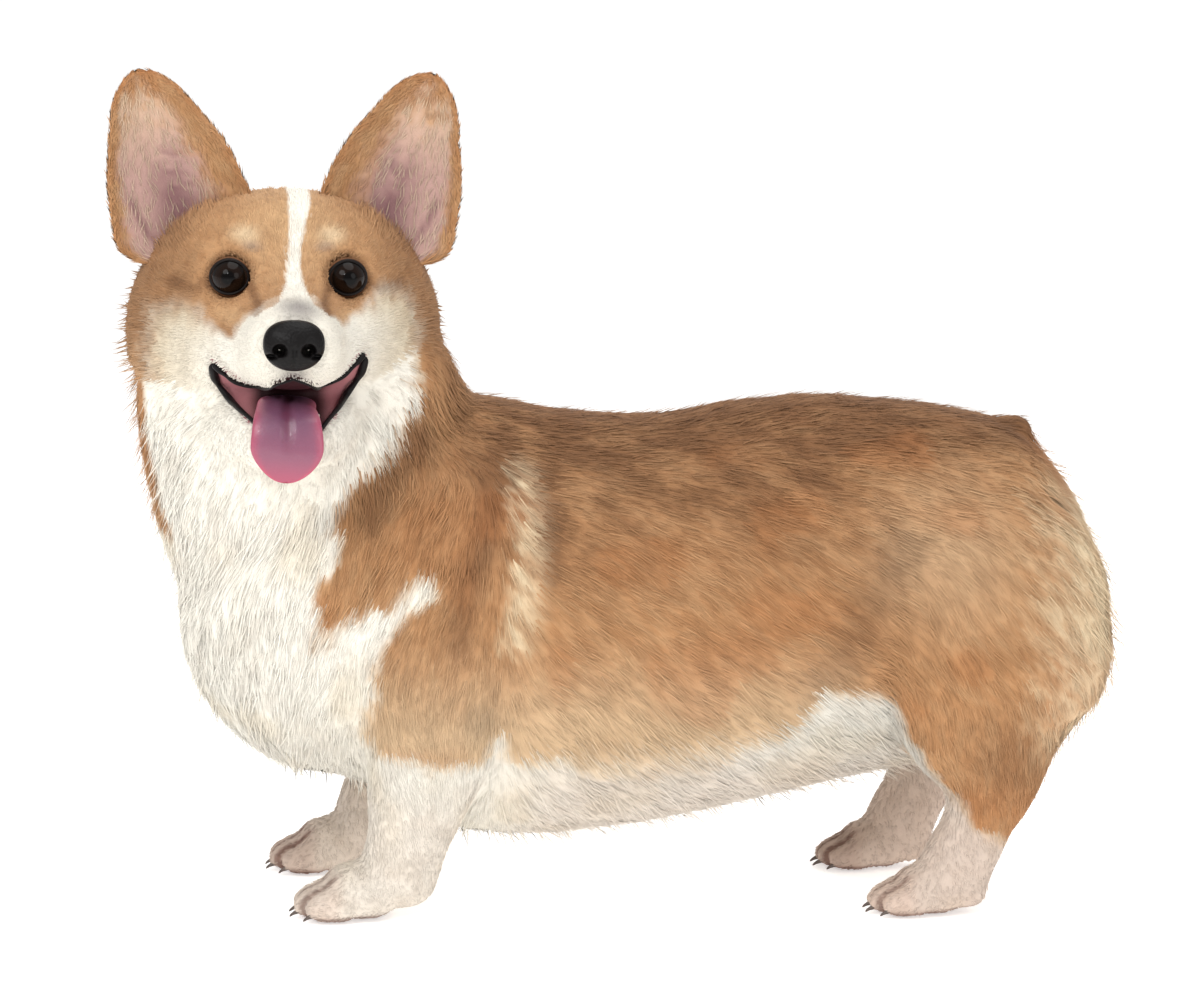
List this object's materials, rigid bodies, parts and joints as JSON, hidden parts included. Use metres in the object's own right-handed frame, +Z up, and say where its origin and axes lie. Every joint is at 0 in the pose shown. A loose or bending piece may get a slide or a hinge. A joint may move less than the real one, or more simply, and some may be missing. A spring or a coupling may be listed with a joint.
{
  "type": "pembroke welsh corgi model",
  "caption": "Still life-size corgi standing on its four paws, its head turned to its left, mouth open and tongue out.",
  "frame": {"origin": "on the floor, under the middle of the whole dog's box", "axes": "+Z up, -Y the way the body faces, +X the dog's left, which its head looks towards"},
  "size_m": [0.27, 0.5982, 0.4928],
  "materials": {
    "fawn_coat": "thick red-fawn fur, darker along the back",
    "white_coat": "white fur, soft and dense",
    "nose_leather": "moist black nose skin, finely pebbled",
    "tongue": "moist pink tongue",
    "eye": "wet and very dark brown"
  },
  "bodies": {
    "root": {"head": "fawn_coat", "neck": "fawn_coat", "chest": "fawn_coat", "loin": "fawn_coat", "rump": "fawn_coat", "tail": "fawn_coat", "tongue": "tongue", "nose": "nose_leather", "jaw": "white_coat", "eye_left": "eye", "ear_left": "fawn_coat", "foreleg_left_upper": "fawn_coat", "foreleg_left_lower": "white_coat", "forepaw_left": "white_coat", "hindleg_left_upper": "fawn_coat", "hindleg_left_lower": "fawn_coat", "hindpaw_left": "white_coat", "eye_right": "eye", "ear_right": "fawn_coat", "foreleg_right_upper": "fawn_coat", "foreleg_right_lower": "white_coat", "forepaw_right": "white_coat", "hindleg_right_upper": "fawn_coat", "hindleg_right_lower": "fawn_coat", "hindpaw_right": "white_coat"}
  },
  "joints": []
}
